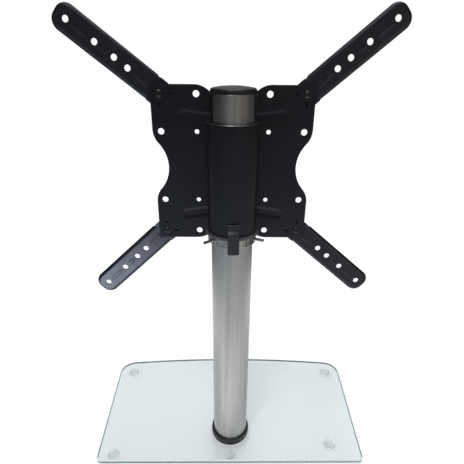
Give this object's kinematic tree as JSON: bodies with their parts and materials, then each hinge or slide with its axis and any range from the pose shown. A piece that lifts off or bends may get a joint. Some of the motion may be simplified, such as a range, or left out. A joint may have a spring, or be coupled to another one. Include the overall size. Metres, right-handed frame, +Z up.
{
  "type": "tv stand with mount",
  "caption": "Tabletop TV stand: a bowed glass base and a steel pole carry a height-adjustable swivelling plate with swinging hole-bar arms.",
  "frame": {"origin": "middle of the glass base's footprint, on the table", "axes": "+Z up, +Y towards the screen side, so the pole stands near the rear edge at -Y; +X to the right seen from behind the stand"},
  "size_m": [0.488, 0.25, 0.7204],
  "materials": {
    "tinted_glass": "polished, ground bevels",
    "clear_bumper": "clear, soft",
    "black_plastic": "fine moulded grain",
    "black_rubber": "plain",
    "black_fibre": "plain",
    "zinc_steel": "zinc plated",
    "brushed_pole": "stainless, brushed round the pole",
    "polished_collar": "polished steel",
    "black_screw": "black oxide",
    "black_coat": "satin black powder coat"
  },
  "bodies": {
    "stand": {"base_glass": "tinted_glass", "bumper_feet": "clear_bumper", "glass_bush": "black_plastic", "clamp_gasket": "black_rubber", "clamp_plate": "zinc_steel", "base_bolt": "zinc_steel", "pole_gasket": "clear_bumper", "pole_plug": "zinc_steel", "pole_tube": "brushed_pole", "pole_trim_ring": "black_plastic", "pole_cap": "black_plastic"},
    "collar": {"lock_collar": "polished_collar", "collar_screws": "zinc_steel"},
    "bracket": {"bearing_ring": "black_plastic", "upper_bush": "black_plastic", "sleeve_tube": "black_coat", "sleeve_welds": "black_coat", "stop_strip": "black_coat", "vesa_plate": "black_coat", "pivot_screws": "black_screw", "friction_washers": "black_fibre", "pivot_washers": "zinc_steel", "pivot_nuts": "zinc_steel"},
    "arm_upper_left": {"arm_upper_left": "black_coat"},
    "arm_upper_right": {"arm_upper_right": "black_coat"},
    "arm_lower_left": {"arm_lower_left": "black_coat"},
    "arm_lower_right": {"arm_lower_right": "black_coat"}
  },
  "joints": [
    {"name": "height_slide", "type": "slide", "parent": "stand", "child": "collar", "axis": [0, 0, 1], "range_m": [-0.22, 0.03]},
    {"name": "swivel", "type": "hinge", "parent": "collar", "child": "bracket", "pos_m": [0, -0.063, 0.51], "axis": [0, 0, 1], "range_deg": [-40, 48]},
    {"name": "arm_upper_left_pivot", "type": "hinge", "parent": "bracket", "child": "arm_upper_left", "pos_m": [-0.1, -0.02335, 0.61], "axis": [0, 1, 0], "range_deg": [-38, 52]},
    {"name": "arm_upper_right_pivot", "type": "hinge", "parent": "bracket", "child": "arm_upper_right", "pos_m": [0.1, -0.02335, 0.61], "axis": [0, 1, 0], "range_deg": [-49.5, 40.5]},
    {"name": "arm_lower_left_pivot", "type": "hinge", "parent": "bracket", "child": "arm_lower_left", "pos_m": [-0.1, -0.02335, 0.41], "axis": [0, 1, 0], "range_deg": [-47, 43]},
    {"name": "arm_lower_right_pivot", "type": "hinge", "parent": "bracket", "child": "arm_lower_right", "pos_m": [0.1, -0.02335, 0.41], "axis": [0, 1, 0], "range_deg": [-40.5, 49.5]}
  ]
}
